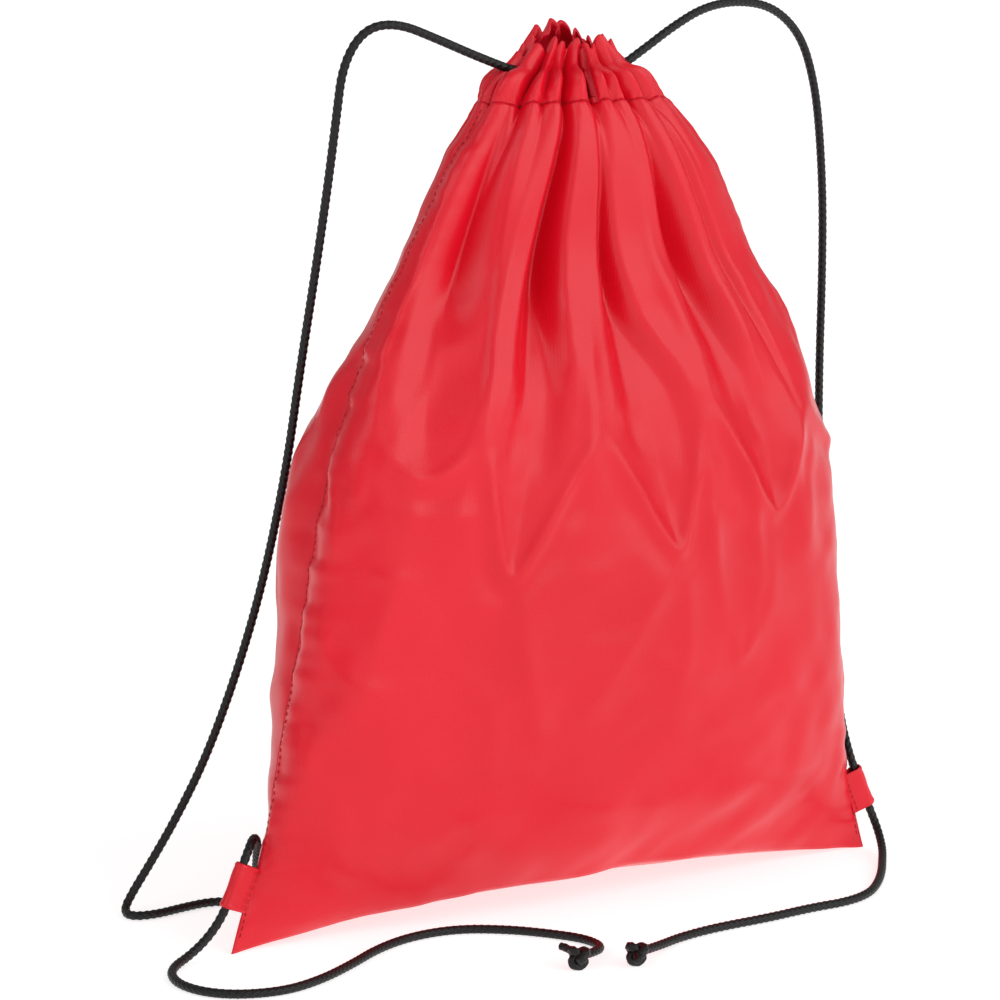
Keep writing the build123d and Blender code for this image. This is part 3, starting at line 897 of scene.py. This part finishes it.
LEFT_INSIDE = [(-30, -12, 375.5), (-24, -12, 374), (-13, -16.5, 374), (8, -17.5, 374), (19, -15, 374)]
RIGHT_INSIDE = [(31, -11, 375.5), (25, -10.5, 374), (13, -5.5, 374), (-8, -4.5, 374), (-19, -7, 374)]


def inner_cords():
    for side, route in (("left", LEFT_INSIDE), ("right", RIGHT_INSIDE)):
        line = spline_points(f"{side}_inside", [tuple(MM * c for c in p) for p in route])
        braided_tube(f"{side}_inner_cord", line, CORD_R, around=24, replaces=[f"{side}_channel_cord"])


STITCH = 2.3 * MM
STITCH_GAP = 0.9 * MM
THREAD_R = 0.24 * MM
SEAM_INSET = 2.2 * MM                # from the side seam to its stitches


def thread_piece(name, stitches, replaces):
    """Short threads, each from one point to another with its middle raised along a normal."""
    around, along = 6, 5
    points, faces = [], []
    for start, end, normal in stitches:
        ahead = (end - start) / np.linalg.norm(end - start)
        side = np.cross(ahead, normal)
        side /= np.linalg.norm(side)
        up = np.cross(side, ahead)
        first = len(points)
        for share in np.linspace(0, 1, along):
            hump = math.sin(math.pi * share)
            centre = start + (end - start) * share + up * (0.45 * hump - 0.15) * MM
            reach = THREAD_R * (0.45 + 0.55 * hump**0.5)
            for k in range(around):
                turn = 2 * math.pi * k / around
                points.append(centre + reach * (math.cos(turn) * side + math.sin(turn) * up))
        faces += grid_faces(around, along, closed=True, start=first)
        faces.append(tuple(range(first + around - 1, first - 1, -1)))
        last = first + (along - 1) * around
        faces.append(tuple(range(last, last + around)))
    return new_piece(name, points, faces, THREAD_WITH_PAINTED_SHADE, replaces)


def stitches_along(line, normals):
    """Start, end and normal of each stitch along a dense line on the cloth."""
    far = np.concatenate([[0], np.cumsum(np.linalg.norm(np.diff(line, axis=0), axis=1))])

    def pick(table, spot):
        return np.array([np.interp(spot, far, table[:, k]) for k in range(3)])

    made = []
    for begin in np.arange(STITCH_GAP, far[-1] - STITCH, STITCH + STITCH_GAP):
        made.append((pick(line, begin), pick(line, begin + STITCH), pick(normals, begin + STITCH / 2)))
    return made


def stitching():
    for front in (True, False):
        s = np.linspace(-0.97, 0.97, 900)
        line, normals = cloth_point(s, np.full(s.shape, STITCH_Z), front)
        name = "front" if front else "back"
        thread_piece(f"{name}_hem_thread", stitches_along(line, normals), [f"{name}_channel_stitching"])
    for side, name in ((-1, "left"), (1, "right")):
        z = np.linspace(6 * MM, STITCH_Z - 3 * MM, 900)
        seam = np.full(z.shape, float(side))
        s = seam * (1 - SEAM_INSET / np.abs(arc(seam, z)))
        line, normals = cloth_point(s, z, True)
        thread_piece(f"{name}_side_thread", stitches_along(line, normals), [f"{name}_side_stitching"])


TAB_HEIGHT = 20 * MM
TAB_LEAN = math.radians(24)
TAB_LOOP = 2.8 * MM                  # radius of the ribbon's loop round the cord
TAB_ROOT = 9 * MM                    # from the cord to the ribbon's ends, inside the seam
TAB_SHIFT = 1 * MM                   # from the middle of the tab's box to the cord, outward
RIBBON_THICK = 0.8 * MM
RIBBON_STEP = 0.3 * MM               # between points along the ribbon
TAIL_GAP = 0.6 * MM                  # from the tab's middle plane to the middle of each tail
TAB_STITCHES = 6
TAB_STITCH = 2.2 * MM
TAB_STITCH_STEP = 3.1 * MM


def tab(side, name):
    """A ribbon folded round the cord, ribbed, with both ends sewn into the side seam."""
    lo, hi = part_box(f"{name}_tab")
    centre = (np.array(lo) + np.array(hi)) / 2
    outward = np.array([side * math.cos(TAB_LEAN), 0, math.sin(TAB_LEAN)])
    upward = np.array([-side * math.sin(TAB_LEAN), 0, math.cos(TAB_LEAN)])
    across = np.array([0, 1.0, 0])
    middle = centre + outward * TAB_SHIFT
    open_angle = math.acos(min(1, (TAB_LOOP - TAIL_GAP) / TAB_ROOT))
    bend = np.linspace(math.pi - open_angle, open_angle - math.pi, 30)
    loop = [(TAB_LOOP * math.cos(a), TAB_LOOP * math.sin(a)) for a in bend]
    corners = [(-TAB_ROOT, TAIL_GAP), *loop, (-TAB_ROOT, -TAIL_GAP)]
    outline = resampled(np.array([(x, y, 0) for x, y in corners]), RIBBON_STEP)[0]
    rows = 61
    points, uv = [], []
    for j in range(rows):
        share = j / (rows - 1)
        edge = min(share, 1 - share) * TAB_HEIGHT
        rib = 0.25 * MM * math.exp(-((edge - 1.0 * MM) / (0.7 * MM))**2)
        rib -= 0.2 * MM * math.exp(-(edge / (0.5 * MM))**2)
        for i, (x, y, _) in enumerate(outline):
            wave = 0.25 * MM * math.sin(3 * share * math.pi + 2 * i / len(outline))
            out = np.array([x, y]) / max(1e-9, math.hypot(x, y))
            x, y = np.array([x, y]) + out * (rib + wave * 0.5)
            points.append(middle + outward * x + across * y + upward * (share - 0.5) * TAB_HEIGHT)
            uv.append((i * RIBBON_STEP, share * TAB_HEIGHT))
    faces = grid_faces(len(outline), rows)
    faces = faces if side > 0 else [face[::-1] for face in faces]
    ribbon = new_piece(f"{name}_ribbon", points, faces, RIBBON, [f"{name}_tab"], uv)
    thicken(ribbon, RIBBON_THICK, offset=0)
    made = []
    place = middle - outward * (TAB_ROOT - 1.5 * MM) - across * 2.2 * MM
    for k in range(TAB_STITCHES):
        start = place + upward * ((k - (TAB_STITCHES - 1) / 2) * TAB_STITCH_STEP - TAB_STITCH / 2)
        made.append((start, start + upward * TAB_STITCH, -across))
    thread_piece(f"{name}_tab_thread", made, [f"{name}_tab_stitching"])


camera()
stage()
cords()
inner_cords()
bag()
stitching()
tab(-1, "left")
tab(1, "right")
